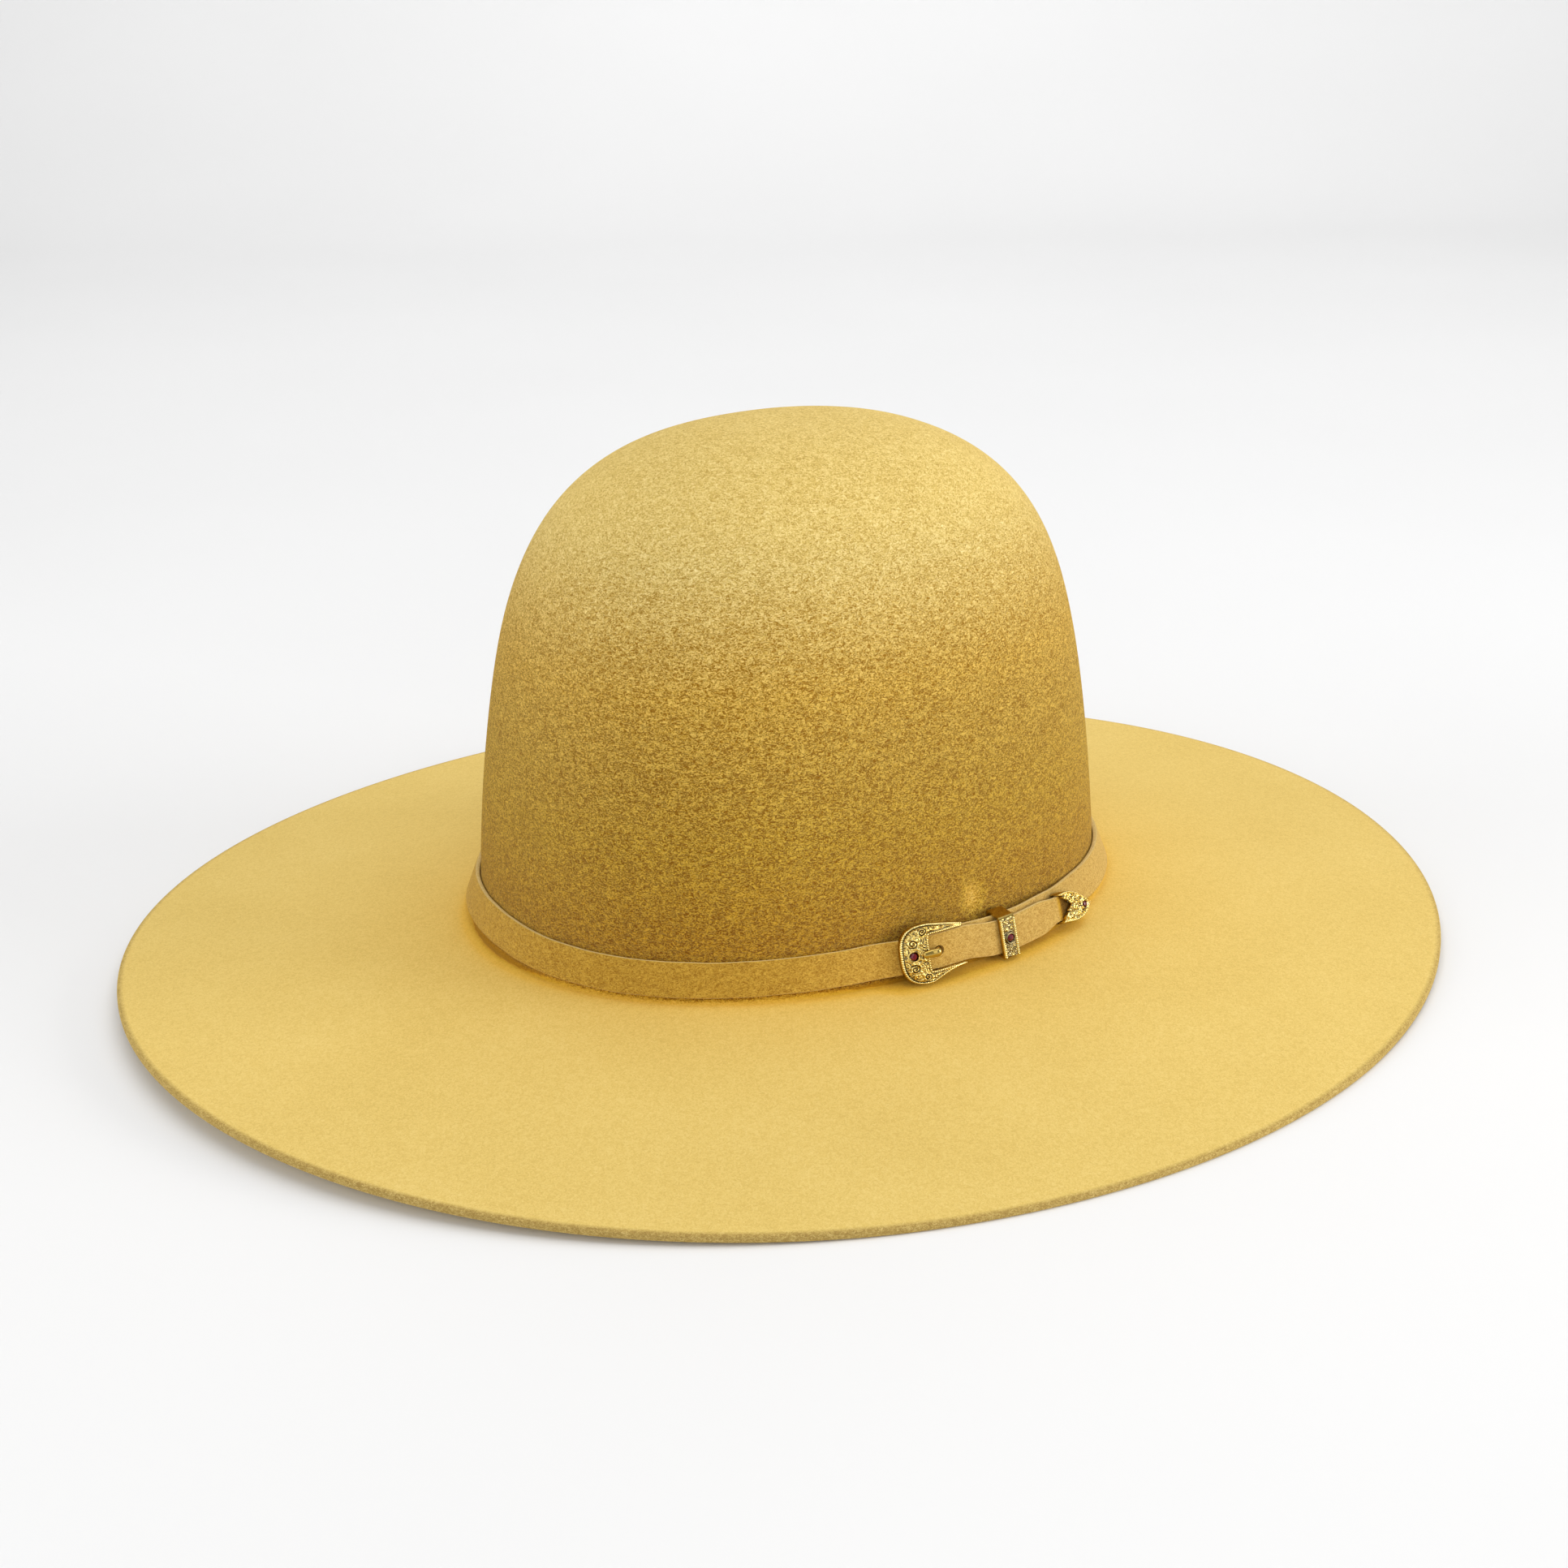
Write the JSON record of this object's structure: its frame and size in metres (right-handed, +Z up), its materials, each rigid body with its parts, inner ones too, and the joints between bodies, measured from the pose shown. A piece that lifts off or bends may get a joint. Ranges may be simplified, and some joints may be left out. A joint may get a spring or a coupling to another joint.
{
  "type": "open crown hat",
  "caption": "Wide-brimmed western felt hat with a tall domed crown left uncreased, and a narrow felt strap buckled round it as a hat band with an engraved metal buckle set.",
  "frame": {"origin": "on the surface that the hat stands on, below the middle of its brim", "axes": "+Z up through the crown, -Y to the front of the hat, +X to the wearer's left, where the buckle is"},
  "size_m": [0.3926, 0.4308, 0.1648],
  "materials": {
    "felt": "short brushed nap",
    "band_felt": "short brushed nap, cut edges",
    "metal": "polished pale gold, engraved",
    "stone": "faceted, clear red"
  },
  "bodies": {
    "root": {"felt_body": "felt", "hat_band": "band_felt", "buckle_frame": "metal", "buckle_prong": "metal", "buckle_stone": "stone", "keeper_loop": "metal", "keeper_stone": "stone", "strap_tip": "metal", "tip_stone": "stone"}
  },
  "joints": []
}
